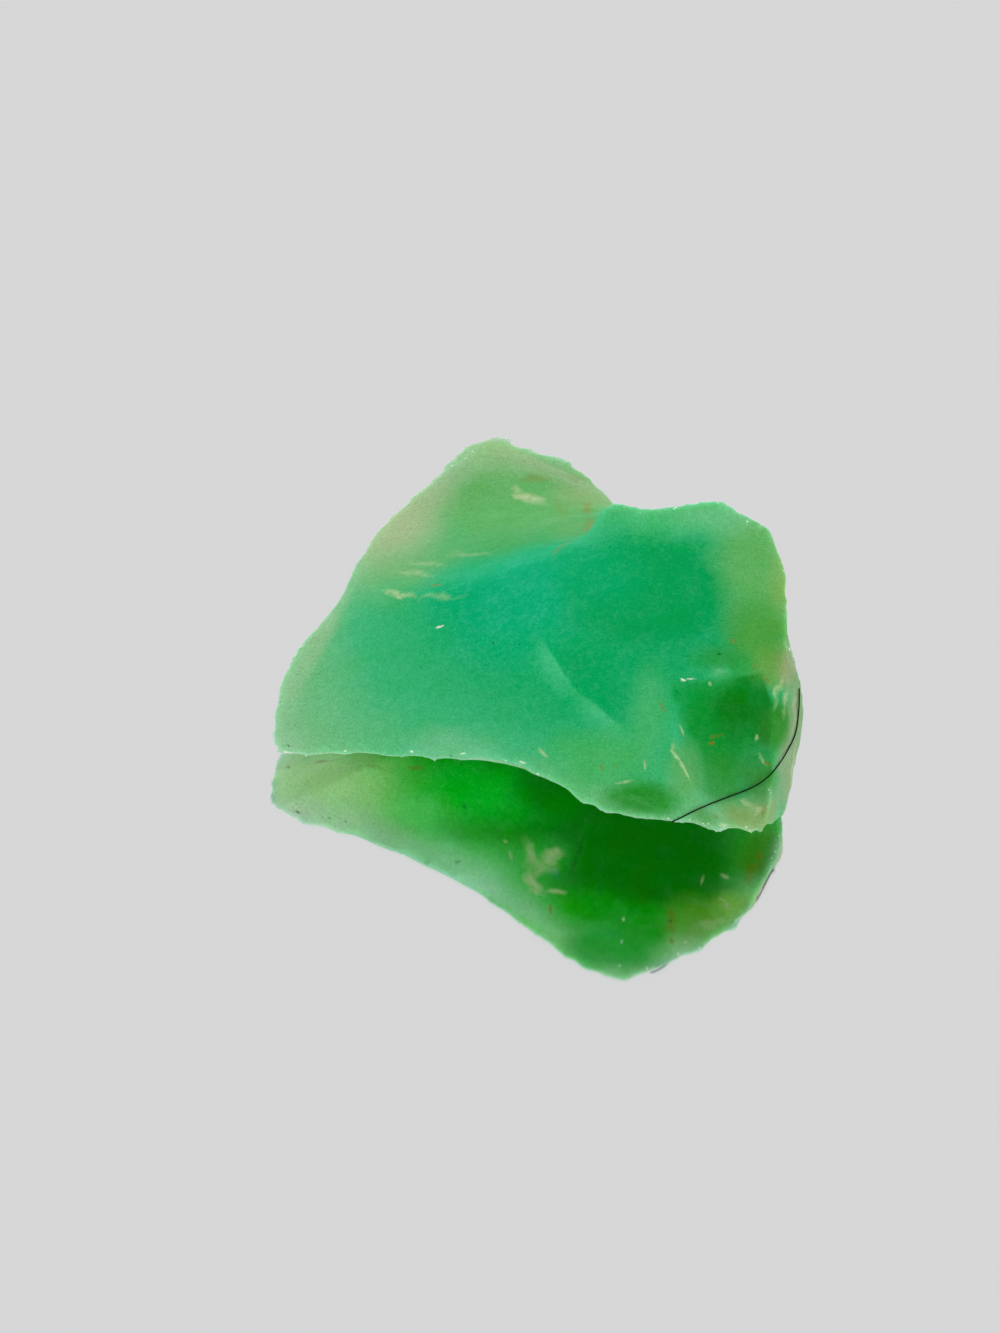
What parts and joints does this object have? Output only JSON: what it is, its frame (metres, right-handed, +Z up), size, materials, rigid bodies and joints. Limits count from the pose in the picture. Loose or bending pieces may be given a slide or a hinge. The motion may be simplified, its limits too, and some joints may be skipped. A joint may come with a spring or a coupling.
{
  "type": "raw chrysoprase",
  "caption": "Raw lump of green chrysoprase: a thick broken block that thins to a sharp rim and a blunt tongue, resting on a flat patch of its underside.",
  "frame": {"origin": "on the floor, under the middle of the bounding box", "axes": "+Z up; +X towards the thick block and the steep right side; +Y towards the blunt tongue at the back, so that the sharp overhanging rim faces -Y"},
  "size_m": [0.0248, 0.0254, 0.0113],
  "materials": {
    "chrysoprase": "waxy broken surface, translucent green that pales to yellow-green at thin edges"
  },
  "bodies": {
    "root": {"chrysoprase": "chrysoprase"}
  },
  "joints": []
}
